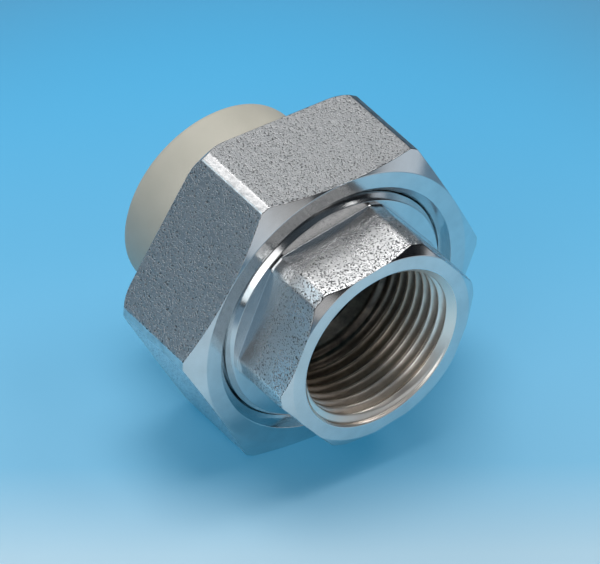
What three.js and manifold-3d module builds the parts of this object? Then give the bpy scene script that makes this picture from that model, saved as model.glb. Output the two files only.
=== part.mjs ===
// Pipe union: a chrome-plated threaded end and a plastic socket end, drawn together by
// a large hexagon nut on a parallel pipe thread, with a flat gasket between the two ends.
// The pipe axis lies along X, the threaded end faces +X and the nut stands on one of its
// flats, with +Z up. The origin is on the pipe axis, half-way along the fitting.
// All sizes are in millimetres.

import * as THREE from 'three';
import { mergeVertices } from 'three/addons/utils/BufferGeometryUtils.js';
import Module from 'manifold-3d';

const wasm = await Module();
wasm.setup();

// ---- Driving dimensions ------------------------------------------------------------------

const SIDES = 48;                      // facets round every turned surface and thread
const PLAY = 0.3;                      // gap between neighbouring pieces
const OVERCUT = 1;                     // how far a cutting solid runs past a face
const OVERALL_LENGTH = 52.4;

// Pipe threads: 11 threads per inch with 27.5 degree flanks.
const PITCH = 25.4 / 11;
const FLANK_SLOPE = Math.tan(THREE.MathUtils.degToRad(27.5));

// Union nut.
const NUT_ACROSS_FLATS = 58;
const NUT_LENGTH = 21.3;
const NUT_EDGE_BEVEL = 1.05;           // along each flat, at the long edges
const NUT_RING_RADIUS = 28.9;          // flat ring on the front face
const NUT_MOUTH_RADIUS = 25.7;         // inner edge of that ring
const NUT_CHAMFER_SLOPE = 0.43;        // axial fall per millimetre outwards, front corners
const NUT_BACK_RADIUS = 31.1;          // where the rounding of the back corners starts
const NUT_BACK_ROUND = 3.2;            // depth of that rounding
const NUT_ROUND_STEPS = 4;
const NUT_SHOULDER = 4;                // thickness of the inner shoulder at the back
const NUT_HOLE_RADIUS = 20.2;          // hole for the plastic socket
const NUT_CREST_RADIUS = 22.65;        // inner edge of the internal thread
const NUT_GROOVE_RADIUS = 24.15;       // bottom of the internal thread
const NUT_RELIEF_RADIUS = 24.35;       // chamber behind the thread
const NUT_THREAD_END = 10.2;           // depth of the thread behind the front face

// Threaded end: hexagon, collar with the external union thread, internal pipe thread.
const HEX_ACROSS_FLATS = 39;
const HEX_LENGTH = 13.4;               // stands out in front of the nut
const HEX_EDGE_BEVEL = 1.7;
const HEX_TURN = 10.5;                 // degrees round the axis from the nut's flats
const HEX_FACE_RADIUS = 19.6;          // flat front face
const HEX_CHAMFER_SLOPE = 0.6;
const COLLAR_SET_BACK = 0.25;          // collar face behind the nut's front ring
const COLLAR_FACE_RADIUS = 22.85;
const COLLAR_RADIUS = 23.75;           // crest of the external union thread
const COLLAR_CHAMFER = 1.3;
const COLLAR_LENGTH = 9.15;
const COLLAR_ROOT_RADIUS = 22.3;
const COLLAR_LEAD = 0.9;               // depth and height of the chamfer at the inner end
const MALE_CREST_WIDTH = 0.35;
const BORE_MOUTH_RADIUS = 16.85;       // countersink of the internal pipe thread
const BORE_CREST_RADIUS = 15.15;
const BORE_GROOVE_RADIUS = 16.62;
const BORE_THREAD_DEPTH = 18.4;
const BORE_GROOVE_WIDTH = 0.39;
const BORE_RADIUS = 14.2;              // plain bore behind the thread

// Plastic socket end.
const SOCKET_OUTER_RADIUS = 19.8;
const SOCKET_ROUND = 1.2;              // rounding of the outer rim
const SOCKET_RADIUS = 16.05;           // for a 32 mm pipe
const SOCKET_DEPTH = 22;
const SOCKET_LEAD = 0.8;               // chamfer at the mouth
const BUSH_COLLAR_RADIUS = 21.9;
const BUSH_COLLAR_LENGTH = 5;
const BUSH_BORE_RADIUS = 13.5;

// Gasket.
const GASKET_OUTER_RADIUS = 21.8;
const GASKET_INNER_RADIUS = 15;
const GASKET_THICKNESS = 2;

// Places along the axis that follow from the sizes above.
const FRONT_X = OVERALL_LENGTH / 2;
const BACK_X = -OVERALL_LENGTH / 2;
const NUT_FRONT_X = FRONT_X - HEX_LENGTH;
const NUT_BACK_X = NUT_FRONT_X - NUT_LENGTH;
const SHOULDER_X = NUT_BACK_X + NUT_SHOULDER;
const COLLAR_FACE_X = NUT_FRONT_X - COLLAR_SET_BACK;
const COLLAR_INNER_X = COLLAR_FACE_X - COLLAR_LENGTH;
const BUSH_COLLAR_BACK_X = SHOULDER_X + PLAY;
const BUSH_COLLAR_FRONT_X = BUSH_COLLAR_BACK_X + BUSH_COLLAR_LENGTH;
const GASKET_BACK_X = BUSH_COLLAR_FRONT_X + PLAY;
const GASKET_FRONT_X = GASKET_BACK_X + GASKET_THICKNESS;

// ---- Solids and booleans -----------------------------------------------------------------

function toSolid(geometry) {
  const bare = geometry.clone();
  bare.deleteAttribute('normal');
  bare.deleteAttribute('uv');
  const merged = mergeVertices(bare);
  const index = merged.index.array;
  const triVerts = [];
  for (let i = 0; i < index.length; i += 3) {
    const [a, b, c] = index.subarray(i, i + 3);
    if (a !== b && b !== c && c !== a) triVerts.push(a, b, c);
  }
  const mesh = new wasm.Mesh({
    numProp: 3,
    vertProperties: new Float32Array(merged.attributes.position.array),
    triVerts: new Uint32Array(triVerts),
  });
  return new wasm.Manifold(mesh);
}

function toGeometry(solid) {
  const mesh = solid.getMesh();
  const geometry = new THREE.BufferGeometry();
  geometry.setAttribute('position', new THREE.BufferAttribute(mesh.vertProperties, 3));
  geometry.setIndex(new THREE.BufferAttribute(mesh.triVerts, 1));
  geometry.computeVertexNormals();
  return geometry;
}

// Turns a closed outline of [x, radius] points round the X axis. The outline runs
// towards +X on its outer side and back on its inner side or along the axis.
function turned(outline) {
  const points = [...outline, outline[0]].map(([x, radius]) => new THREE.Vector2(radius, x));
  const geometry = new THREE.LatheGeometry(points, SIDES);
  geometry.rotateZ(-Math.PI / 2);
  return geometry;
}

// Hexagonal bar along X with two flats level and its long edges bevelled.
function hexBar(acrossFlats, edgeBevel, fromX, toX) {
  const halfSide = acrossFlats / 2 / Math.sqrt(3);
  const outline = new THREE.Shape();
  for (let side = 0; side < 6; side += 1) {
    for (const along of [edgeBevel - halfSide, halfSide - edgeBevel]) {
      const point = new THREE.Vector2(acrossFlats / 2, along);
      point.rotateAround(new THREE.Vector2(0, 0), side * Math.PI / 3);
      if (side === 0 && along < 0) outline.moveTo(point.x, point.y);
      else outline.lineTo(point.x, point.y);
    }
  }
  const geometry = new THREE.ExtrudeGeometry(outline, { depth: toX - fromX, bevelEnabled: false });
  geometry.rotateY(Math.PI / 2);
  geometry.translate(fromX, 0, 0);
  return geometry;
}

// Bar with a right-hand thread along X. Each pitch has four rows of points, the two ends
// of the root and of the crest. A row climbs one pitch per turn, so a row that comes
// round to its start meets the same row of the next pitch. The crest's middle crosses
// the +Y side of the bar at phaseX and at every pitch from there.
function threadedBar({ crestRadius, rootRadius, crestWidth, phaseX, fromX, toX }) {
  const flank = (crestRadius - rootRadius) * FLANK_SLOPE;
  const rootWidth = PITCH - crestWidth - 2 * flank;
  const pitchRows = [
    [-rootWidth - flank - crestWidth / 2, rootRadius],
    [-flank - crestWidth / 2, rootRadius],
    [-crestWidth / 2, crestRadius],
    [crestWidth / 2, crestRadius],
  ];
  const firstPitch = Math.floor((fromX - phaseX) / PITCH) - 1;
  const lastPitch = Math.ceil((toX - phaseX) / PITCH) + 1;
  const rows = [];
  for (let pitch = firstPitch; pitch <= lastPitch; pitch += 1) {
    for (const [x, radius] of pitchRows) rows.push([phaseX + pitch * PITCH + x, radius]);
  }

  const positions = [];
  for (let side = 0; side < SIDES; side += 1) {
    const angle = (side / SIDES) * 2 * Math.PI;
    const climb = (side / SIDES) * PITCH;
    for (const [x, radius] of rows) {
      positions.push(x + climb, radius * Math.cos(angle), radius * Math.sin(angle));
    }
  }
  // A row past the last side is the row one pitch further on, back at the first side.
  const point = (side, row) => (side < SIDES ? side * rows.length + row : row + pitchRows.length);

  const index = [];
  const last = rows.length - 1;
  for (let side = 0; side < SIDES; side += 1) {
    const rowsHere = side === SIDES - 1 ? last - pitchRows.length : last;
    for (let row = 0; row < rowsHere; row += 1) {
      const a = point(side, row);
      const b = point(side + 1, row);
      const c = point(side + 1, row + 1);
      const d = point(side, row + 1);
      index.push(a, b, c, a, c, d);
    }
  }

  // Each end is a fan from a point on the axis to the open edge of the rows.
  const backCentre = positions.length / 3;
  positions.push(rows[0][0] - PITCH, 0, 0);
  const frontCentre = backCentre + 1;
  positions.push(rows[last][0] + 2 * PITCH, 0, 0);
  const backEdge = [];
  const frontEdge = [];
  for (let side = 0; side < SIDES; side += 1) {
    backEdge.push(point(side, 0));
    frontEdge.push(point(side, last));
  }
  for (let row = pitchRows.length; row > 0; row -= 1) backEdge.push(point(0, row));
  for (let row = 1; row <= pitchRows.length; row += 1) frontEdge.push(point(SIDES - 1, last - row));
  backEdge.forEach((start, i) => {
    index.push(backCentre, backEdge[(i + 1) % backEdge.length], start);
  });
  frontEdge.forEach((start, i) => {
    index.push(frontCentre, start, frontEdge[(i + 1) % frontEdge.length]);
  });

  const geometry = new THREE.BufferGeometry();
  geometry.setAttribute('position', new THREE.Float32BufferAttribute(positions, 3));
  geometry.setIndex(index);
  const trim = turned([[fromX, 0], [fromX, crestRadius + 1], [toX, crestRadius + 1], [toX, 0]]);
  return toSolid(geometry).intersect(toSolid(trim));
}

// ---- Pieces ------------------------------------------------------------------------------

// The internal and external union threads share this phase, so that they are in mesh.
const UNION_PHASE_X = COLLAR_INNER_X;

function unionNut() {
  const cornerRadius = NUT_ACROSS_FLATS / 2 / Math.cos(Math.PI / 6);
  const backRound = [];
  for (let step = 0; step <= NUT_ROUND_STEPS; step += 1) {
    const angle = (step / NUT_ROUND_STEPS) * (Math.PI / 2);
    backRound.push([
      NUT_BACK_X + NUT_BACK_ROUND * (1 - Math.cos(angle)),
      NUT_BACK_RADIUS + (cornerRadius - NUT_BACK_RADIUS) * Math.sin(angle),
    ]);
  }
  const mouthDepth = NUT_MOUTH_RADIUS - NUT_HOLE_RADIUS;
  const body = turned([
    ...backRound,
    [NUT_FRONT_X - (cornerRadius - NUT_RING_RADIUS) * NUT_CHAMFER_SLOPE, cornerRadius],
    [NUT_FRONT_X, NUT_RING_RADIUS],
    [NUT_FRONT_X, NUT_MOUTH_RADIUS],
    [NUT_FRONT_X - mouthDepth, NUT_HOLE_RADIUS],
    [NUT_BACK_X, NUT_HOLE_RADIUS],
  ]);
  const threadEndX = NUT_FRONT_X - NUT_THREAD_END;
  const chamber = turned([
    [SHOULDER_X, 0],
    [SHOULDER_X, NUT_RELIEF_RADIUS],
    [threadEndX, NUT_RELIEF_RADIUS],
    [threadEndX, 0],
  ]);
  const thread = threadedBar({
    crestRadius: NUT_GROOVE_RADIUS,
    rootRadius: NUT_CREST_RADIUS,
    crestWidth: MALE_CREST_WIDTH + 2 * (PLAY - (NUT_GROOVE_RADIUS - COLLAR_RADIUS) * FLANK_SLOPE),
    phaseX: UNION_PHASE_X,
    fromX: threadEndX - PLAY,
    toX: NUT_FRONT_X + PLAY,
  });
  const bar = hexBar(
    NUT_ACROSS_FLATS, NUT_EDGE_BEVEL, NUT_BACK_X - OVERCUT, NUT_FRONT_X + OVERCUT,
  );
  return toSolid(bar).intersect(toSolid(body)).subtract(toSolid(chamber)).subtract(thread);
}

function threadedEnd() {
  const cornerRadius = HEX_ACROSS_FLATS / 2 / Math.cos(Math.PI / 6);
  const threadEndX = COLLAR_FACE_X - COLLAR_CHAMFER;
  const bar = hexBar(HEX_ACROSS_FLATS, HEX_EDGE_BEVEL, threadEndX, FRONT_X + OVERCUT);
  bar.rotateX(THREE.MathUtils.degToRad(HEX_TURN));
  const envelope = turned([
    [threadEndX - OVERCUT, 0],
    [threadEndX - OVERCUT, cornerRadius],
    [FRONT_X - (cornerRadius - HEX_FACE_RADIUS) * HEX_CHAMFER_SLOPE, cornerRadius],
    [FRONT_X, HEX_FACE_RADIUS],
    [FRONT_X, 0],
  ]);
  const collarHead = turned([
    [threadEndX, 0],
    [threadEndX, COLLAR_RADIUS],
    [COLLAR_FACE_X, COLLAR_FACE_RADIUS],
    [COLLAR_FACE_X, 0],
  ]);
  const threadLead = turned([
    [COLLAR_INNER_X, 0],
    [COLLAR_INNER_X, COLLAR_RADIUS - COLLAR_LEAD],
    [COLLAR_INNER_X + 2 * COLLAR_LEAD, COLLAR_RADIUS + COLLAR_LEAD],
    [FRONT_X, COLLAR_RADIUS + COLLAR_LEAD],
    [FRONT_X, 0],
  ]);
  const unionThread = threadedBar({
    crestRadius: COLLAR_RADIUS,
    rootRadius: COLLAR_ROOT_RADIUS,
    crestWidth: MALE_CREST_WIDTH,
    phaseX: UNION_PHASE_X,
    fromX: COLLAR_INNER_X - OVERCUT,
    toX: threadEndX + PLAY,
  });
  const bore = turned([
    [COLLAR_INNER_X - OVERCUT, 0],
    [COLLAR_INNER_X - OVERCUT, BORE_RADIUS],
    [FRONT_X - (BORE_MOUTH_RADIUS - BORE_RADIUS), BORE_RADIUS],
    [FRONT_X + OVERCUT, BORE_MOUTH_RADIUS + OVERCUT],
    [FRONT_X + OVERCUT, 0],
  ]);
  const pipeThread = threadedBar({
    crestRadius: BORE_GROOVE_RADIUS,
    rootRadius: BORE_CREST_RADIUS,
    crestWidth: BORE_GROOVE_WIDTH,
    phaseX: FRONT_X,
    fromX: FRONT_X - BORE_THREAD_DEPTH,
    toX: FRONT_X + OVERCUT,
  });
  return toSolid(bar)
    .intersect(toSolid(envelope))
    .add(toSolid(collarHead))
    .add(unionThread.intersect(toSolid(threadLead)))
    .subtract(toSolid(bore))
    .subtract(pipeThread);
}

function socketBush() {
  const roundSteps = 3;
  const rim = [];
  for (let step = 0; step <= roundSteps; step += 1) {
    const angle = (step / roundSteps) * (Math.PI / 2);
    rim.push([
      BACK_X + SOCKET_ROUND * (1 - Math.sin(angle)),
      SOCKET_OUTER_RADIUS - SOCKET_ROUND * (1 - Math.cos(angle)),
    ]);
  }
  rim.reverse();
  return toSolid(turned([
    ...rim,
    [BUSH_COLLAR_BACK_X, SOCKET_OUTER_RADIUS],
    [BUSH_COLLAR_BACK_X, BUSH_COLLAR_RADIUS],
    [BUSH_COLLAR_FRONT_X, BUSH_COLLAR_RADIUS],
    [BUSH_COLLAR_FRONT_X, BUSH_BORE_RADIUS],
    [BACK_X + SOCKET_DEPTH, BUSH_BORE_RADIUS],
    [BACK_X + SOCKET_DEPTH, SOCKET_RADIUS],
    [BACK_X + SOCKET_LEAD, SOCKET_RADIUS],
    [BACK_X, SOCKET_RADIUS + SOCKET_LEAD],
  ]));
}

function gasket() {
  return toSolid(turned([
    [GASKET_BACK_X, GASKET_OUTER_RADIUS],
    [GASKET_FRONT_X, GASKET_OUTER_RADIUS],
    [GASKET_FRONT_X, GASKET_INNER_RADIUS],
    [GASKET_BACK_X, GASKET_INNER_RADIUS],
  ]));
}

// ---- Assembly ----------------------------------------------------------------------------

function piece(name, solid, color, roughness, metalness) {
  const material = new THREE.MeshStandardMaterial({ color, roughness, metalness });
  const mesh = new THREE.Mesh(toGeometry(solid), material);
  mesh.name = name;
  return mesh;
}

const union = new THREE.Group();
union.name = 'pipe_union';
union.add(
  piece('union_nut', unionNut(), 0xb9bcbf, 0.3, 1),
  piece('threaded_end', threadedEnd(), 0xc3c6c9, 0.25, 1),
  piece('socket_bush', socketBush(), 0xb0aa9b, 0.6, 0),
  piece('gasket', gasket(), 0x1d1d1f, 0.85, 0),
);

export default union;
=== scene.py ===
"""Looks for the pipe union: fine meshes and materials for its four pieces, a pale floor and soft light.

Every piece is a ring about the X axis. Its mesh is a closed outline of (x, radius) rows, repeated in
columns round the axis, so flats, cones, edges and threads each keep rows and columns of their own.
Sizes are in millimetres until a mesh is made.
"""
import math

import bpy
import numpy as np
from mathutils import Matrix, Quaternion, Vector, noise


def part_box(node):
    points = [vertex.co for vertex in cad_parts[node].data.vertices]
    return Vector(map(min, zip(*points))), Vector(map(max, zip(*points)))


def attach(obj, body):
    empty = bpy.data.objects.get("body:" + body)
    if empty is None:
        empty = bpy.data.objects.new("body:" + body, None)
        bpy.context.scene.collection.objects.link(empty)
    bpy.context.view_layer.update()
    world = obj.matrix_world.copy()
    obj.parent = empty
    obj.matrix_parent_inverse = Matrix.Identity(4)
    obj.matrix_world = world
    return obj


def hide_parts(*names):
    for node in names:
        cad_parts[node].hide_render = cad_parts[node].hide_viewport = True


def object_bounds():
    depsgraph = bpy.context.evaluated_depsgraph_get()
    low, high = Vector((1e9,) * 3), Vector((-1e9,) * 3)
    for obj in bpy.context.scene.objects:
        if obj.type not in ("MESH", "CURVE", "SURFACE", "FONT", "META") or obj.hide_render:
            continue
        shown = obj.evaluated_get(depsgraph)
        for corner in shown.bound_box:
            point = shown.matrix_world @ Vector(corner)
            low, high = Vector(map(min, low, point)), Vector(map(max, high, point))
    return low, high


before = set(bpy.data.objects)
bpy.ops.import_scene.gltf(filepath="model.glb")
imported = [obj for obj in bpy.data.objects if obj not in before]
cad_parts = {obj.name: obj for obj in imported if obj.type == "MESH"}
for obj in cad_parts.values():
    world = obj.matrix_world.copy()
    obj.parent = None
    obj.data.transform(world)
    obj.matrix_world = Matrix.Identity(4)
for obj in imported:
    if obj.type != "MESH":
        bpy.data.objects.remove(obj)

cad_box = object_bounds()
MM = 0.001


# ---- Places and sizes from the frame ----------------------------------------------------------------

def span(node):
    """Lowest and highest x of a CAD node, and its half height, in millimetres."""
    low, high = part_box(node)
    return low.x / MM, high.x / MM, high.z / MM


NUT_BACK, NUT_FRONT, NUT_HALF = span("union_nut")
END_INNER, END_FRONT, COLLAR_RADIUS = span("threaded_end")
BUSH_BACK, BUSH_FRONT, BUSH_COLLAR_RADIUS = span("socket_bush")
GASKET_BACK, GASKET_FRONT, GASKET_RADIUS = span("gasket")

# Sizes inside the pieces' boxes, the same as in the CAD source.
PITCH = 25.4 / 11
FLANK_SLOPE = math.tan(math.radians(27.5))
UNION_PHASE = END_INNER  # both union threads have a crest there, so they are in mesh
UNION_PLAY = 0.3
NUT_BEVEL = 1.05
NUT_RING_RADIUS = 28.9
NUT_MOUTH_RADIUS = 25.7
NUT_CHAMFER_SLOPE = 0.43
NUT_BACK_RADIUS = 31.1
NUT_BACK_ROUND = 3.2
BACK_FACE_INSET = 0.6
BACK_FACE_STEPS = 5
NUT_SHOULDER = 4.0
NUT_HOLE_RADIUS = 20.2
NUT_CREST_RADIUS = 22.65
NUT_GROOVE_RADIUS = 24.15
NUT_RELIEF_RADIUS = 24.35
NUT_THREAD_END = 10.2
HEX_HALF = 19.5
HEX_BEVEL = 1.7
HEX_TURN = 10.5
HEX_FACE_RADIUS = 19.6
HEX_CHAMFER_SLOPE = 0.6
COLLAR_FACE = NUT_FRONT - 0.25
COLLAR_FACE_RADIUS = 22.85
COLLAR_CHAMFER = 1.3
COLLAR_ROOT_RADIUS = 22.3
COLLAR_LEAD = 0.9
COLLAR_CREST_WIDTH = 0.35
BORE_MOUTH_RADIUS = 16.85
BORE_CREST_RADIUS = 15.15
BORE_GROOVE_RADIUS = 16.62
BORE_THREAD_DEPTH = 18.4
BORE_CREST_WIDTH = 0.39
BORE_RADIUS = 14.2
BORE_STEP_LENGTH = 0.6
SOCKET_OUTER_RADIUS = 19.8
SOCKET_RADIUS = 16.05
SOCKET_DEPTH = 22.0
BUSH_BORE_RADIUS = 13.5
BUSH_COLLAR_LENGTH = 5.0
GASKET_INNER_RADIUS = 15.0

# Small shapes that only the finished surface has: the small hexagon's fillet at its base, the slump
# before its front edge, rounded edges, and rows that hold the shading close to them.
FILLET_LENGTH = 4.0
FILLET_FLARE = 0.33
FILLET_SHARES = (0.2, 0.4, 0.6, 0.8)
BASE_BEAD = 0.06
SLUMP_LENGTH = 1.6
SLUMP_MIDDLE = 0.6
HEX_EDGE_DROP = 0.14
HEX_EDGE_ROUND = 0.5
FACE_INSET = 0.05
EDGE_ROUND = 0.22
FINE_ROUND = 0.1
HOLE_ROUND = 0.4
BUSH_END_ROUND = 1.2
SOCKET_MOUTH_ROUND = 0.8
BUSH_STEP_ROUND = 0.3
GASKET_ROUND = 0.25
ROUND_STEPS = 3
SUPPORT = 0.05
BOX_MARGIN = 0.001

# The cast surfaces are torn towards their front edges. These are distances behind the edge.
NUT_TORN_START = 0.5
NUT_TORN_FULL = 0.2
END_TORN_START = 1.1
END_TORN_FULL = 0.3

# Depth and grain of the cast surfaces' real hollows, what shifts their noise, and how far in front of
# the collar they start on the small hexagon.
HOLLOWS_START = 1.0
HOLLOWS_FULL = 4.0
BEVEL_HOLLOWS = 0.02
FLAT_HOLLOWS = 0.03
TORN_HOLLOWS = 0.06
NUT_GRAIN = 0.8
NUT_SEED = Vector((3.1, 0.7, 5.3))
END_GRAIN = 0.7
END_SEED = Vector((7.7, 2.9, 1.3))


# ---- Helpers ---------------------------------------------------------------------------------------

def placed(name, data):
    """A new object with the given data, linked to the scene."""
    thing = bpy.data.objects.new(name, data)
    bpy.context.scene.collection.objects.link(thing)
    return thing


def climb(values, start, end):
    """0 up to start, 1 from end on, and a straight climb between."""
    return np.clip((values - start) / (end - start), 0, 1)


# ---- Ring meshes -----------------------------------------------------------------------------------

def hex_columns(half, bevel, turn, flat_steps, rounding=EDGE_ROUND, strip_steps=4):
    """Angles and radii round a hexagon with bevelled and rounded edges, and which columns start a bevel.

    Angle 0 is +Z, turning about +X."""
    side = half / math.sqrt(3)
    corners = []
    for flat in range(6):
        centre = math.radians(turn + 60 * flat)
        for along in (bevel - side, side - bevel):
            radius = math.hypot(half, along)
            angle = centre + math.atan2(along, half)
            corners.append((radius * math.cos(angle), radius * math.sin(angle)))
    corners = np.array(corners)
    points, on_bevel = [], []
    count = len(corners)
    for i in range(count):
        corner, before, after = corners[i], corners[i - 1], corners[(i + 1) % count]
        start = corner + (before - corner) / np.linalg.norm(before - corner) * rounding
        end = corner + (after - corner) / np.linalg.norm(after - corner) * rounding
        for t in np.linspace(0, 1, ROUND_STEPS + 1):
            points.append((1 - t) ** 2 * start + 2 * t * (1 - t) * corner + t ** 2 * end)
            on_bevel.append((t > 0.5) == (i % 2 == 1))
        next_start = after + (corner - after) / np.linalg.norm(corner - after) * rounding
        steps = flat_steps if i % 2 == 0 else strip_steps
        for t in np.linspace(0, 1, steps + 1)[1:-1]:
            points.append(end + (next_start - end) * t)
            on_bevel.append(i % 2 == 1)
    points = np.array(points)
    angles = np.unwrap(np.arctan2(points[:, 1], points[:, 0]))
    return angles, np.hypot(points[:, 0], points[:, 1]), np.array(on_bevel)


def round_columns(count):
    """Evenly spread angles."""
    return np.arange(count) / count * 2 * math.pi


def outline(corners, columns):
    """Rows of (x, radius) along a closed outline, each row with one value for each column.

    A corner is (x, radius, rounding, steps to the next corner, finish of that stretch). The x and
    radius are numbers or one value for each column. Returns the rows and each row's finish."""
    places = [np.stack([np.broadcast_to(c[0], columns), np.broadcast_to(c[1], columns)], 1).astype(float)
              for c in corners]
    count = len(corners)
    rows, finishes = [], []

    def unit(vector):
        return vector / np.maximum(np.linalg.norm(vector, axis=1, keepdims=True), 1e-9)

    def trimmed(i, j, rounding):
        """The point on the stretch from corner i to corner j where the rounding of i ends."""
        length = np.linalg.norm(places[j] - places[i], axis=1, keepdims=True)
        return places[i] + unit(places[j] - places[i]) * np.minimum(rounding, 0.4 * length)

    for i, (_, _, rounding, steps, finish) in enumerate(corners):
        before, after = (i - 1) % count, (i + 1) % count
        previous_finish = corners[before][4]
        if rounding > 0:
            start, end = trimmed(i, before, rounding), trimmed(i, after, rounding)
            for k in range(ROUND_STEPS + 1):
                t = k / ROUND_STEPS
                rows.append((1 - t) ** 2 * start + 2 * t * (1 - t) * places[i] + t ** 2 * end)
                finishes.append(previous_finish if t < 0.5 else finish)
        else:
            end = places[i]
            rows.append(end)
            finishes.append(finish)
        stop = trimmed(after, i, corners[after][2]) if corners[after][2] > 0 else places[after]
        length = np.linalg.norm(stop - end, axis=1, keepdims=True)
        near = np.minimum(SUPPORT / np.maximum(length, 1e-9), 0.2 / steps)
        shares = [k / steps for k in range(1, steps)]
        if rounding > 0:
            shares.insert(0, near)
        if corners[after][2] > 0:
            shares.append(1 - near)
        for share in shares:
            rows.append(end + (stop - end) * share)
            finishes.append(finish)
    return np.array(rows), finishes


def ring_mesh(name, rows, angles, finishes, materials, worn=None, worn_material=None):
    """A closed ring mesh from outline rows and column angles. materials maps a finish to its material.

    The cast rows get worn_material in the columns that worn picks."""
    row_count, column_count, _ = rows.shape
    x, radius = rows[:, :, 0], rows[:, :, 1]
    points = np.stack([x, -radius * np.sin(angles), radius * np.cos(angles)], 2).reshape(-1, 3) * MM
    row, column = np.meshgrid(np.arange(row_count), np.arange(column_count), indexing="ij")
    next_row, next_column = (row + 1) % row_count, (column + 1) % column_count
    faces = np.stack([row * column_count + column, row * column_count + next_column,
                      next_row * column_count + next_column, next_row * column_count + column], 2)
    mesh = bpy.data.meshes.new(name)
    mesh.from_pydata(points.tolist(), [], faces.reshape(-1, 4).tolist())
    slots = list(dict.fromkeys(materials.values()))
    slot_of_row = np.array([slots.index(materials[finish]) for finish in finishes])
    slot_of_face = np.repeat(slot_of_row[:, None], column_count, 1)
    if worn is not None:
        slots.append(worn_material)
        slot_of_face[np.ix_(rows_of(finishes, "cast"), worn)] = len(slots) - 1
    for material in slots:
        mesh.materials.append(material)
    mesh.polygons.foreach_set("material_index", slot_of_face.reshape(-1).astype(np.int32))
    mesh.polygons.foreach_set("use_smooth", np.ones(row_count * column_count, bool))
    mesh.update()
    return placed(name, mesh)


def rows_of(finishes, wanted):
    """Which rows have the wanted finish."""
    return np.array([finish == wanted for finish in finishes])


def thread_height(x, angles, phase, crest_width, depth):
    """0 at the root and 1 at the crest of a right-hand thread, with its corners slightly rounded."""
    softness = 0.07
    turn = (x - phase) / PITCH - (angles[None, :] + math.pi / 2) / (2 * math.pi)
    from_crest = np.abs((turn + 0.5) % 1 - 0.5) * PITCH
    run = depth * FLANK_SLOPE
    t = 1 - (from_crest - crest_width / 2) / run
    return (np.sqrt(t ** 2 + softness ** 2) - np.sqrt((t - 1) ** 2 + softness ** 2) + 1) / 2


def roughen(rows, angles, chosen, depth, grain, seed):
    """Sinks the chosen rows by up to depth, in hollows about as wide as grain.

    The depth is one number for each column, or for each row and column."""
    depth = np.broadcast_to(depth, rows.shape[:2])
    for i in np.flatnonzero(chosen):
        for j, angle in enumerate(angles):
            x, radius = rows[i, j]
            place = Vector((x, -radius * math.sin(angle), radius * math.cos(angle))) / grain
            level = noise.noise(place + seed) + 0.5 * noise.noise(place * 2.1 + seed)
            rows[i, j, 1] -= depth[i, j] * min(1, max(0, 0.5 + level))


def mark_torn(piece, torn):
    """Stores how torn each point of a ring mesh is, from 0 to 1, for its material."""
    values = piece.data.attributes.new("torn", "FLOAT", "POINT")
    values.data.foreach_set("value", torn.reshape(-1))


# ---- Materials -------------------------------------------------------------------------------------

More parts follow.
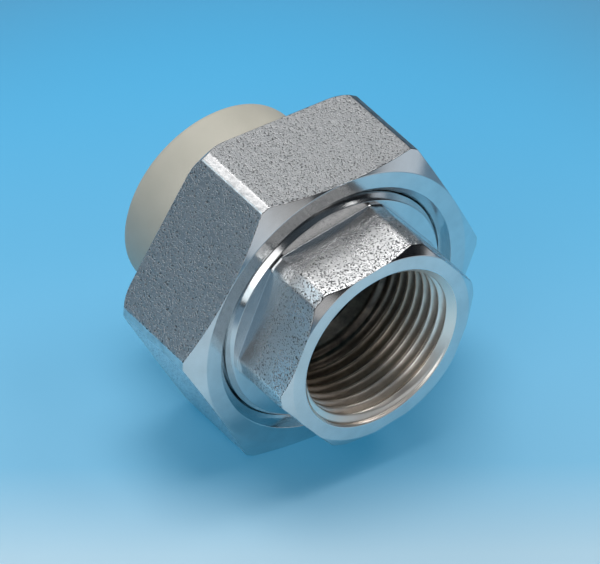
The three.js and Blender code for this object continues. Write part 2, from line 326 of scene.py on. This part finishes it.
class Nodes:
    """The node tree of a material or world, with short calls for the nodes used here."""

    def __init__(self, owner, shader="Principled BSDF", place="Object"):
        owner.use_nodes = True
        self.owner = owner
        self.tree = owner.node_tree
        self.shader = self.tree.nodes[shader]
        self.place = self.add("ShaderNodeTexCoord").outputs[place]

    def add(self, kind, inputs=None, **settings):
        node = self.tree.nodes.new(kind)
        for key, value in settings.items():
            setattr(node, key, value)
        for key, value in (inputs or {}).items():
            self.feed(node.inputs[key], value)
        return node

    def feed(self, socket, value):
        if isinstance(value, bpy.types.NodeSocket):
            self.tree.links.new(value, socket)
        else:
            socket.default_value = value

    def math(self, operation, *values):
        node = self.add("ShaderNodeMath", operation=operation)
        for socket, value in zip(node.inputs, values):
            self.feed(socket, value)
        return node.outputs[0]

    def noise(self, size, detail=2.0, roughness=0.5, place=None):
        """Noise from 0 to 1 with lumps about size millimetres wide."""
        return self.add("ShaderNodeTexNoise", {
            "Vector": place or self.place, "Scale": 1 / (size * MM),
            "Detail": detail, "Roughness": roughness}).outputs["Fac"]

    def ramp(self, fac, *stops):
        """Colour ramp through (position, colour) stops."""
        node = self.add("ShaderNodeValToRGB", {"Fac": fac})
        elements = node.color_ramp.elements
        while len(elements) < len(stops):
            elements.new(0.5)
        for element, (position, color) in zip(elements, stops):
            element.position = position
            element.color = color
        return node.outputs["Color"]

    def mix(self, fac, first, second):
        """The first colour where fac is 0, and the second where it is 1."""
        node = self.add("ShaderNodeMix", data_type="RGBA")
        self.feed(node.inputs["Factor"], fac)
        colors = [socket for socket in node.inputs if socket.type == "RGBA"]
        self.feed(colors[0], first)
        self.feed(colors[1], second)
        return next(socket for socket in node.outputs if socket.type == "RGBA")

    def spread(self, value, low, high):
        """Maps 0 to 1 onto low to high."""
        node = self.add("ShaderNodeMapRange", {"Value": value, "To Min": low, "To Max": high})
        return node.outputs["Result"]

    def rise(self, value, start, end, low=0.0, kind="LINEAR"):
        """Rises from low at start to 1 at end, and stays at those values outside."""
        node = self.add("ShaderNodeMapRange", {
            "Value": value, "From Min": start, "From Max": end, "To Min": low}, interpolation_type=kind)
        return node.outputs["Result"]

    def bump(self, height, distance, strength=1.0, normal=None):
        """The surface's normal over a height from 0 to 1 that stands for distance millimetres."""
        inputs = {"Height": height, "Distance": distance * MM, "Strength": strength}
        if normal is not None:
            inputs["Normal"] = normal
        return self.add("ShaderNodeBump", inputs).outputs["Normal"]

    def towards(self, direction):
        """How far the shaded place, or in a world the direction looked in, lies in a direction."""
        node = self.add("ShaderNodeVectorMath", {0: self.place, 1: direction}, operation="DOT_PRODUCT")
        return node.outputs["Value"]

    def along_and_out(self):
        """Distance along the fitting's axis and distance from it, in metres."""
        x, y, z = self.add("ShaderNodeSeparateXYZ", {"Vector": self.place}).outputs
        squares = self.math("ADD", self.math("MULTIPLY", y, y), self.math("MULTIPLY", z, z))
        return x, self.math("SQRT", squares)

    def turning_lines(self, size):
        """Noise that only changes along the axis and outwards, like the marks of a lathe tool."""
        x, radius = self.along_and_out()
        lines = self.add("ShaderNodeCombineXYZ", {"X": x, "Y": radius})
        return self.noise(size, detail=3.0, roughness=0.6, place=lines.outputs[0])


def gray(level, warmth=0.0):
    """A gray, with more red and less blue the higher its warmth."""
    return (level * (1 + warmth), level, level * (1 - warmth), 1.0)


def machined_chrome():
    """Turned surfaces under the plating: a mirror with faint lathe lines and smears."""
    n = Nodes(bpy.data.materials.new("machined_chrome"))
    lines = n.turning_lines(0.3)
    smears = n.noise(5.0, detail=4.0, roughness=0.6)
    n.feed(n.shader.inputs["Base Color"], n.ramp(smears, (0.35, gray(0.66)), (0.65, gray(0.74))))
    n.shader.inputs["Metallic"].default_value = 1.0
    n.feed(n.shader.inputs["Roughness"], n.spread(smears, 0.08, 0.2))
    n.feed(n.shader.inputs["Normal"], n.bump(lines, 0.004, 0.5))
    return n.owner


def cast_chrome(name, grain, pit_start, depth, gloss, painted_pit_shade, waviness, smooth_from, smooth_length):
    """Rough cast surfaces under the plating: pits over a fine grain and low waves.

    The pits are about grain millimetres wide and depth deep, and closer together the lower pit_start is.
    Their base colour is darkened with painted shade, the more the higher the pit shade value is. The
    waves are waviness high. gloss is the mean shader roughness.
    All of it grows from almost nothing at x = smooth_from to full depth smooth_length further on, and
    is deeper where the mesh's torn value is high."""
    n = Nodes(bpy.data.materials.new(name))
    grains = n.noise(grain, detail=2.0, roughness=0.55)
    waves = n.noise(1.5, detail=3.0)
    clouds = n.noise(7.0, detail=3.0)
    x = n.along_and_out()[0]
    growth = n.rise(x, smooth_from * MM, (smooth_from + smooth_length) * MM, low=0.1, kind="SMOOTHSTEP")
    torn = n.add("ShaderNodeAttribute", attribute_name="torn").outputs["Fac"]
    roughness = n.math("ADD", growth, torn)
    pits = n.math("MULTIPLY", roughness, n.rise(grains, pit_start, pit_start + 0.15, kind="SMOOTHSTEP"))
    # Painted shade: the base colour darkens in the pits, over a faint random tone from the clouds.
    tone_and_painted_pit_shade = n.math("SUBTRACT", n.spread(clouds, 0.9, 1.1), n.math("MULTIPLY", pits, painted_pit_shade))
    n.feed(n.shader.inputs["Base Color"], n.ramp(tone_and_painted_pit_shade, (0.2, gray(0.1)), (1.0, gray(0.8))))
    n.shader.inputs["Metallic"].default_value = 1.0
    shine = n.spread(clouds, gloss + 0.07, gloss - 0.05)
    n.feed(n.shader.inputs["Roughness"], n.math("MULTIPLY", shine, n.spread(growth, 0.5, 1.0)))
    hollows = n.math("MULTIPLY", pits, -1)
    rolling = n.bump(n.math("MULTIPLY", waves, roughness), waviness, 0.8)
    grainy = n.bump(n.math("MULTIPLY", grains, roughness), 0.6 * depth, 1.0, rolling)
    n.feed(n.shader.inputs["Normal"], n.bump(hollows, 0.8 * depth, 1.0, grainy))
    return n.owner


def worn_chrome():
    """Burnished edges between the cast flats."""
    n = Nodes(bpy.data.materials.new("worn_chrome"))
    grains = n.noise(0.5, detail=3.0)
    scuffs = n.noise(1.8, detail=4.0, roughness=0.7)
    n.feed(n.shader.inputs["Base Color"], n.ramp(scuffs, (0.35, gray(0.5)), (0.6, gray(0.68))))
    n.shader.inputs["Metallic"].default_value = 1.0
    n.feed(n.shader.inputs["Roughness"], n.spread(scuffs, 0.32, 0.16))
    n.feed(n.shader.inputs["Normal"], n.bump(grains, 0.05, 0.7))
    return n.owner


def threaded_nickel():
    """The threaded bore: duller and warmer than the outside and stained, with painted shade that makes it
    darker with depth.

    Painted shade darkens its grooves, but not at the mouth."""
    n = Nodes(bpy.data.materials.new("threaded_nickel"))
    lines = n.turning_lines(0.25)
    stains = n.noise(2.5, detail=4.0, roughness=0.6)
    x, radius = n.along_and_out()
    # Painted shade: the base colour is darker deeper in the bore, and in the grooves behind the mouth.
    light = n.rise(x, (END_FRONT - BORE_THREAD_DEPTH) * MM, (END_FRONT - 2) * MM)
    groove = n.rise(radius, (BORE_GROOVE_RADIUS - 0.4) * MM, BORE_GROOVE_RADIUS * MM)
    mouth = n.rise(x, (END_FRONT - 1.2) * MM, (END_FRONT - 0.6) * MM)
    painted_groove_shade = n.math("MULTIPLY", groove, n.math("SUBTRACT", 1.0, mouth))
    shade = n.math("ADD", n.math("MULTIPLY", light, 0.7), n.math("MULTIPLY", stains, 0.3))
    shade = n.math("MULTIPLY", shade, n.math("SUBTRACT", 1.0, n.math("MULTIPLY", painted_groove_shade, 0.8)))
    n.feed(n.shader.inputs["Base Color"], n.ramp(
        shade, (0.1, gray(0.07, 0.08)), (0.4, gray(0.38, 0.2)), (0.8, gray(0.9, 0.09))))
    n.shader.inputs["Metallic"].default_value = 1.0
    n.feed(n.shader.inputs["Roughness"], n.spread(stains, 0.42, 0.32))
    n.feed(n.shader.inputs["Normal"], n.bump(lines, 0.012, 0.6))
    return n.owner


def socket_plastic():
    """Matt beige moulding with a fine grain and faint clouds."""
    n = Nodes(bpy.data.materials.new("socket_plastic"))
    clouds = n.noise(9.0, detail=4.0)
    grain = n.noise(0.25, detail=2.0)
    n.feed(n.shader.inputs["Base Color"], n.ramp(
        clouds, (0.3, (0.42, 0.4, 0.335, 1)), (0.7, (0.475, 0.45, 0.38, 1))))
    n.feed(n.shader.inputs["Roughness"], n.spread(clouds, 0.5, 0.62))
    n.feed(n.shader.inputs["Normal"], n.bump(grain, 0.02, 0.5))
    return n.owner


def gasket_rubber():
    """Black sheet rubber."""
    n = Nodes(bpy.data.materials.new("gasket_rubber"))
    grain = n.noise(0.4, detail=3.0)
    n.feed(n.shader.inputs["Base Color"], n.ramp(grain, (0.3, gray(0.012)), (0.7, gray(0.03))))
    n.feed(n.shader.inputs["Roughness"], n.spread(grain, 0.7, 0.9))
    n.feed(n.shader.inputs["Normal"], n.bump(grain, 0.03, 0.6))
    return n.owner


# ---- Pieces ----------------------------------------------------------------------------------------

def union_nut(machined, cast, worn):
    """The large nut, from its back corner over the flats and front and back through its thread."""
    half = NUT_HALF - BOX_MARGIN
    angles, hexagon, bevels = hex_columns(half, NUT_BEVEL, 0, flat_steps=84)
    corner_radius = half / math.cos(math.pi / 6)

    def back_face(radius):
        """Where the nut's back ends at a radius: a face that rounds off towards its corners."""
        outside = climb(radius, NUT_BACK_RADIUS, corner_radius)
        return NUT_BACK + NUT_BACK_ROUND * (1 - np.sqrt(1 - outside ** 2))

    inner_start = np.minimum(hexagon, NUT_BACK_RADIUS) - BACK_FACE_INSET
    corners = []
    for step in range(BACK_FACE_STEPS):
        radius = inner_start + (hexagon - inner_start) * step / BACK_FACE_STEPS
        corners.append((back_face(radius), radius, 0, 1, "machined"))
    flat_front = NUT_FRONT - (hexagon - NUT_RING_RADIUS) * NUT_CHAMFER_SLOPE
    mouth_depth = NUT_MOUTH_RADIUS - NUT_CREST_RADIUS
    thread_end = NUT_FRONT - NUT_THREAD_END
    shoulder = NUT_BACK + NUT_SHOULDER
    depth = NUT_GROOVE_RADIUS - NUT_CREST_RADIUS
    side_play = UNION_PLAY - (NUT_GROOVE_RADIUS - COLLAR_RADIUS) * FLANK_SLOPE
    groove_width = COLLAR_CREST_WIDTH + 2 * side_play

    def groove(x):
        """Radius of the thread at x in every column."""
        return NUT_CREST_RADIUS + depth * thread_height(x, angles, UNION_PHASE, groove_width, depth)

    corners += [
        (back_face(hexagon), hexagon, EDGE_ROUND, 51, "cast"),
        (flat_front, hexagon, FINE_ROUND, 4, "machined"),
        (NUT_FRONT, NUT_RING_RADIUS, FINE_ROUND, 6, "machined"),
        (NUT_FRONT, NUT_MOUTH_RADIUS, FINE_ROUND, 14, "thread"),
        (NUT_FRONT - mouth_depth, NUT_CREST_RADIUS, 0, 40, "thread"),
        (thread_end + SUPPORT, NUT_CREST_RADIUS, 0, 1, "thread"),
        (thread_end, groove(thread_end)[0], 0, 2, "machined"),
        (thread_end, NUT_RELIEF_RADIUS, FINE_ROUND, 2, "machined"),
        (shoulder, NUT_RELIEF_RADIUS, FINE_ROUND, 2, "machined"),
        (shoulder, NUT_HOLE_RADIUS, FINE_ROUND, 2, "machined"),
        (NUT_BACK, NUT_HOLE_RADIUS, HOLE_ROUND, 8, "machined"),
    ]
    rows, finishes = outline(corners, len(angles))
    threaded = rows_of(finishes, "thread")
    rows[threaded, :, 1] = np.maximum(rows[threaded, :, 1], groove(rows[threaded, :, 0]))
    hollows = np.where(bevels, BEVEL_HOLLOWS, FLAT_HOLLOWS)
    roughen(rows, angles, rows_of(finishes, "cast"), hollows, NUT_GRAIN, NUT_SEED)
    piece = ring_mesh("union_nut_shell", rows, angles, finishes,
                      {"machined": machined, "cast": cast, "thread": machined}, bevels, worn)
    mark_torn(piece, climb(rows[:, :, 0], flat_front - NUT_TORN_START, flat_front - NUT_TORN_FULL))
    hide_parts("union_nut")
    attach(piece, "union_nut")


def threaded_end(machined, cast, nickel):
    """The plated end, from its inner face over the collar, hexagon and front and back through its bore."""
    angles, hexagon, _ = hex_columns(
        HEX_HALF, HEX_BEVEL, HEX_TURN, flat_steps=50, rounding=HEX_EDGE_ROUND, strip_steps=8)
    edge_radius = hexagon - HEX_EDGE_DROP
    face_radius = np.minimum(HEX_FACE_RADIUS, edge_radius - FACE_INSET)
    edge_x = END_FRONT - (edge_radius - face_radius) * HEX_CHAMFER_SLOPE
    thread_end = COLLAR_FACE - COLLAR_CHAMFER
    bore_end = END_FRONT - BORE_THREAD_DEPTH
    depth = COLLAR_RADIUS - COLLAR_ROOT_RADIUS

    def ridge(x):
        """Radius of the collar's thread at x in every column."""
        return COLLAR_ROOT_RADIUS + depth * thread_height(
            x, angles, UNION_PHASE, COLLAR_CREST_WIDTH, depth)

    rim_radius = COLLAR_RADIUS - COLLAR_LEAD
    corners = [
        (END_INNER, np.minimum(rim_radius, ridge(END_INNER)[0]), 0, 1, "union_thread"),
        (END_INNER + SUPPORT, rim_radius + SUPPORT, 0, 3, "union_thread"),
        (END_INNER + COLLAR_LEAD, COLLAR_RADIUS, 0, 30, "union_thread"),
        (thread_end, COLLAR_RADIUS, FINE_ROUND, 3, "machined"),
        (COLLAR_FACE, COLLAR_FACE_RADIUS, FINE_ROUND, 4, "machined"),
        (COLLAR_FACE, hexagon + FILLET_FLARE + BASE_BEAD / 2, BASE_BEAD / 3, 1, "cast"),
    ]
    for along in (BASE_BEAD, BASE_BEAD + SUPPORT, *(FILLET_LENGTH * share for share in FILLET_SHARES)):
        flare = FILLET_FLARE * (1 - along / FILLET_LENGTH) ** 2
        corners.append((COLLAR_FACE + along, hexagon + flare, 0, 1, "cast"))
    corners += [
        (COLLAR_FACE + FILLET_LENGTH, hexagon, 0, 28, "cast"),
        (edge_x - SLUMP_LENGTH, hexagon, 0.5, 3, "cast"),
        (edge_x - SLUMP_MIDDLE, hexagon - 0.25 * HEX_EDGE_DROP, 0.25, 2, "cast"),
        (edge_x, edge_radius, EDGE_ROUND, 4, "machined"),
        (END_FRONT, face_radius, FINE_ROUND, 5, "machined"),
        (END_FRONT, BORE_MOUTH_RADIUS, FINE_ROUND, 14, "pipe_thread"),
        (END_FRONT - (BORE_MOUTH_RADIUS - BORE_CREST_RADIUS), BORE_CREST_RADIUS, 0, 86, "pipe_thread"),
        (bore_end, BORE_CREST_RADIUS, 0, 3, "nickel"),
        (bore_end - BORE_STEP_LENGTH, BORE_RADIUS, 0, 4, "nickel"),
        (END_INNER, BORE_RADIUS, FINE_ROUND, 6, "machined"),
    ]
    rows, finishes = outline(corners, len(angles))

    threaded = rows_of(finishes, "union_thread")
    rows[threaded, :, 1] = np.minimum(rows[threaded, :, 1], ridge(rows[threaded, :, 0]))

    threaded = rows_of(finishes, "pipe_thread")
    x = rows[threaded, :, 0]
    bore_depth = BORE_GROOVE_RADIUS - BORE_CREST_RADIUS
    profile = thread_height(x, angles, END_FRONT, BORE_CREST_WIDTH, bore_depth)
    run_out = climb(x, bore_end, bore_end + PITCH)
    groove = BORE_CREST_RADIUS + run_out * bore_depth * profile
    rows[threaded, :, 1] = np.maximum(rows[threaded, :, 1], groove)

    x = rows[:, :, 0]
    grown = climb(x, COLLAR_FACE + HOLLOWS_START, COLLAR_FACE + HOLLOWS_FULL)
    torn = climb(x, edge_x - END_TORN_START, edge_x - END_TORN_FULL)
    hollows = FLAT_HOLLOWS * grown + TORN_HOLLOWS * torn
    roughen(rows, angles, rows_of(finishes, "cast"), hollows, END_GRAIN, END_SEED)
    piece = ring_mesh("threaded_end_shell", rows, angles, finishes, {
        "machined": machined, "cast": cast, "union_thread": machined,
        "pipe_thread": nickel, "nickel": nickel})
    mark_torn(piece, torn)
    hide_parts("threaded_end")
    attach(piece, "threaded_end")


def socket_bush(plastic):
    """The plastic end, from its far end over the collar and back through its bore and socket."""
    angles = round_columns(256)
    collar_back = BUSH_FRONT - BUSH_COLLAR_LENGTH
    socket_end = BUSH_BACK + SOCKET_DEPTH
    corners = [
        (BUSH_BACK, SOCKET_OUTER_RADIUS, BUSH_END_ROUND, 12, "plastic"),
        (collar_back, SOCKET_OUTER_RADIUS, BUSH_STEP_ROUND, 2, "plastic"),
        (collar_back, BUSH_COLLAR_RADIUS, BUSH_STEP_ROUND, 3, "plastic"),
        (BUSH_FRONT, BUSH_COLLAR_RADIUS, BUSH_STEP_ROUND, 5, "plastic"),
        (BUSH_FRONT, BUSH_BORE_RADIUS, HOLE_ROUND, 3, "plastic"),
        (socket_end, BUSH_BORE_RADIUS, HOLE_ROUND, 3, "plastic"),
        (socket_end, SOCKET_RADIUS, BUSH_STEP_ROUND, 10, "plastic"),
        (BUSH_BACK, SOCKET_RADIUS, SOCKET_MOUTH_ROUND, 3, "plastic"),
    ]
    rows, finishes = outline(corners, len(angles))
    piece = ring_mesh("socket_bush_body", rows, angles, finishes, {"plastic": plastic})
    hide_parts("socket_bush")
    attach(piece, "socket_bush")


def gasket(rubber):
    """The flat ring between the collar and the bush."""
    angles = round_columns(160)
    corners = [
        (GASKET_BACK, GASKET_RADIUS, GASKET_ROUND, 3, "rubber"),
        (GASKET_FRONT, GASKET_RADIUS, GASKET_ROUND, 5, "rubber"),
        (GASKET_FRONT, GASKET_INNER_RADIUS, GASKET_ROUND, 3, "rubber"),
        (GASKET_BACK, GASKET_INNER_RADIUS, GASKET_ROUND, 5, "rubber"),
    ]
    rows, finishes = outline(corners, len(angles))
    piece = ring_mesh("gasket_ring", rows, angles, finishes, {"rubber": rubber})
    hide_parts("gasket")
    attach(piece, "threaded_end")


# ---- Studio ----------------------------------------------------------------------------------------

CAMERA_AZIMUTH = 51.3
CAMERA_ELEVATION = 39.3
CAMERA_ROLL = 3.9
CAMERA_DISTANCE = 1.361
CAMERA_LENS = 451
CAMERA_AIM = Vector((1.6, 0.0, -1.6)) * MM

# The floor is a blue sheet with painted light and shade: paler towards the camera, darker away from
# it. Its places are distances from the fitting in that direction, in metres. Near the fitting it glows
# with a painted blue light that lifts its shadows, and further out it fades to a grayer blue.
FLOOR_HALF = 4.0
PAINTED_PALE_DIRECTION = (0.85, -0.53, 0.0)
FLOOR_BLUES_AND_PAINTED_LIGHT = (
    (-0.12, (0.06, 0.3, 0.52, 1)),
    (-0.04, (0.13, 0.35, 0.52, 1)),
    (0.02, (0.2, 0.39, 0.52, 1)),
    (0.045, (0.4, 0.5, 0.54, 1)),
    (0.1, (0.5, 0.55, 0.57, 1)),
)
FLOOR_PAINTED_GLOW = (0.0, 0.1, 0.19, 1)
FLOOR_FADE_START = 0.09
FLOOR_FADE_END = 0.19
FLOOR_FAR = (0.12, 0.22, 0.31, 1)

# The sky's lightest direction, and its colour by how near a direction is to that one.
SKY_LIGHT_DIRECTION = (-0.55, -0.1, 0.83)
SKY = (
    (0.0, (0.008, 0.009, 0.011, 1)),
    (0.45, (0.034, 0.044, 0.054, 1)),
    (0.57, (0.115, 0.165, 0.21, 1)),
    (0.75, (0.33, 0.345, 0.36, 1)),
    (1.0, (0.47, 0.475, 0.48, 1)),
)


def camera():
    """The camera at the photograph's viewing angle, with a long lens."""
    azimuth, elevation = math.radians(CAMERA_AZIMUTH), math.radians(CAMERA_ELEVATION)
    back = Vector((math.sin(azimuth) * math.cos(elevation),
                   -math.cos(azimuth) * math.cos(elevation),
                   math.sin(elevation)))
    data = bpy.data.cameras.new("camera")
    data.lens = CAMERA_LENS
    data.clip_end = 5 * FLOOR_HALF
    holder = placed("camera", data)
    holder.location = CAMERA_AIM + back * CAMERA_DISTANCE
    holder.rotation_mode = "QUATERNION"
    roll = Quaternion((0, 0, 1), math.radians(CAMERA_ROLL))
    holder.rotation_quaternion = (-back).to_track_quat("-Z", "Y") @ roll
    bpy.context.scene.camera = holder


def area_light(name, direction, distance, size, radiance, shape="ELLIPSE",
               color=(1, 1, 1), in_mirrors=True):
    """An area light in the given direction from the fitting, facing it, and hidden from the camera.

    The distance and size are in metres. in_mirrors says whether shiny surfaces reflect it."""
    data = bpy.data.lights.new(name, "AREA")
    data.shape = shape
    data.size, data.size_y = size
    data.color = color
    area = size[0] * size[1] * (math.pi / 4 if shape == "ELLIPSE" else 1)
    data.energy = radiance * math.pi * area
    holder = placed(name, data)
    direction = Vector(direction).normalized()
    holder.location = direction * distance
    holder.rotation_mode = "QUATERNION"
    holder.rotation_quaternion = (-direction).to_track_quat("-Z", "Y")
    holder.visible_camera = False
    holder.visible_glossy = in_mirrors


def floor():
    """A blue sheet under the fitting, as the colour stops above describe it, with painted light.

    It is painted paler towards the camera and glows near the fitting.
    """
    n = Nodes(bpy.data.materials.new("floor"))
    n.shader.inputs["Roughness"].default_value = 0.8
    n.shader.inputs["Specular IOR Level"].default_value = 0.2
    distance = n.add("ShaderNodeVectorMath", {0: n.place}, operation="LENGTH").outputs["Value"]
    fade = n.rise(distance, FLOOR_FADE_START, FLOOR_FADE_END, kind="SMOOTHSTEP")
    first, last = FLOOR_BLUES_AND_PAINTED_LIGHT[0][0], FLOOR_BLUES_AND_PAINTED_LIGHT[-1][0]
    stops = [((place - first) / (last - first), color) for place, color in FLOOR_BLUES_AND_PAINTED_LIGHT]
    # Painted light and shade: the sheet's blue is paler towards the camera and darker away from it.
    sheet = n.ramp(n.rise(n.towards(PAINTED_PALE_DIRECTION), first, last), *stops)
    n.feed(n.shader.inputs["Base Color"], n.mix(fade, sheet, FLOOR_FAR))
    # Painted light: the floor glows blue near the fitting, fading out with distance.
    n.shader.inputs["Emission Color"].default_value = FLOOR_PAINTED_GLOW
    n.feed(n.shader.inputs["Emission Strength"], n.math("SUBTRACT", 1.0, fade))
    low = cad_box[0].z
    mesh = bpy.data.meshes.new("floor")
    corners = [(-1, -1), (1, -1), (1, 1), (-1, 1)]
    mesh.from_pydata([(x * FLOOR_HALF, y * FLOOR_HALF, low) for x, y in corners], [], [(0, 1, 2, 3)])
    mesh.materials.append(n.owner)
    ground = placed("floor", mesh)


def sky():
    """A dark studio that is lighter behind and above the fitting."""
    world = bpy.data.worlds.new("studio")
    bpy.context.scene.world = world
    n = Nodes(world, "Background", "Generated")
    n.feed(n.shader.inputs["Color"], n.ramp(n.towards(SKY_LIGHT_DIRECTION), *SKY))


# ---- Scene -----------------------------------------------------------------------------------------

bpy.context.scene.view_settings.view_transform = "Standard"
camera()
machined = machined_chrome()
cast_nut = cast_chrome("cast_chrome_nut", grain=0.34, pit_start=0.5, depth=0.065, gloss=0.3,
                       painted_pit_shade=0.7, waviness=0.08, smooth_from=NUT_BACK - 1, smooth_length=0.5)
union_nut(machined, cast_nut, worn_chrome())
cast_end = cast_chrome("cast_chrome_end", grain=0.33, pit_start=0.51, depth=0.085, gloss=0.27,
                       painted_pit_shade=0.8, waviness=0.06, smooth_from=COLLAR_FACE + 1.5, smooth_length=3.5)
threaded_end(machined, cast_end, threaded_nickel())
socket_bush(socket_plastic())
gasket(gasket_rubber())
floor()
sky()
area_light("key", (-0.63, -0.04, 0.778), distance=0.9, size=(0.6, 0.6), radiance=1.25)
area_light("overhead", (-0.1, 0.0, 0.995), distance=1.0, size=(0.6, 0.6), radiance=3.4)
area_light("overhead_fill", (-0.1, 0.0, 0.995), distance=1.01, size=(0.6, 0.6), radiance=3.2,
           in_mirrors=False)
area_light("left_card", (0.45, -0.8, 0.38), distance=0.9, size=(0.26, 0.62), radiance=1.4,
           shape="RECTANGLE", color=(0.82, 0.94, 1.0))
area_light("front_fill", (0.4, -0.72, 0.57), distance=1.3, size=(0.85, 0.85), radiance=1.6)
area_light("bore_light", (0.16, 0.58, 0.8), distance=1.0, size=(0.34, 0.34), radiance=6.0)
area_light("left_key", (-0.6, -0.55, 0.58), distance=0.9, size=(0.3, 0.3), radiance=1.4,
           color=(0.6, 0.85, 1.0))
area_light("corner_card", (0.997, 0.073, 0.066), distance=0.198, size=(0.08, 0.042), radiance=0.52,
           shape="RECTANGLE")
area_light("right_card", (0.82, 0.57, 0.0), distance=0.205, size=(0.15, 0.04), radiance=0.48,
           shape="RECTANGLE")
area_light("upper_card", (0.69, 0.28, 0.67), distance=1.0, size=(0.36, 0.36), radiance=0.65)
area_light("front_card", (0.983, -0.165, 0.078), distance=1.2, size=(0.66, 0.19), radiance=0.5,
           shape="RECTANGLE")
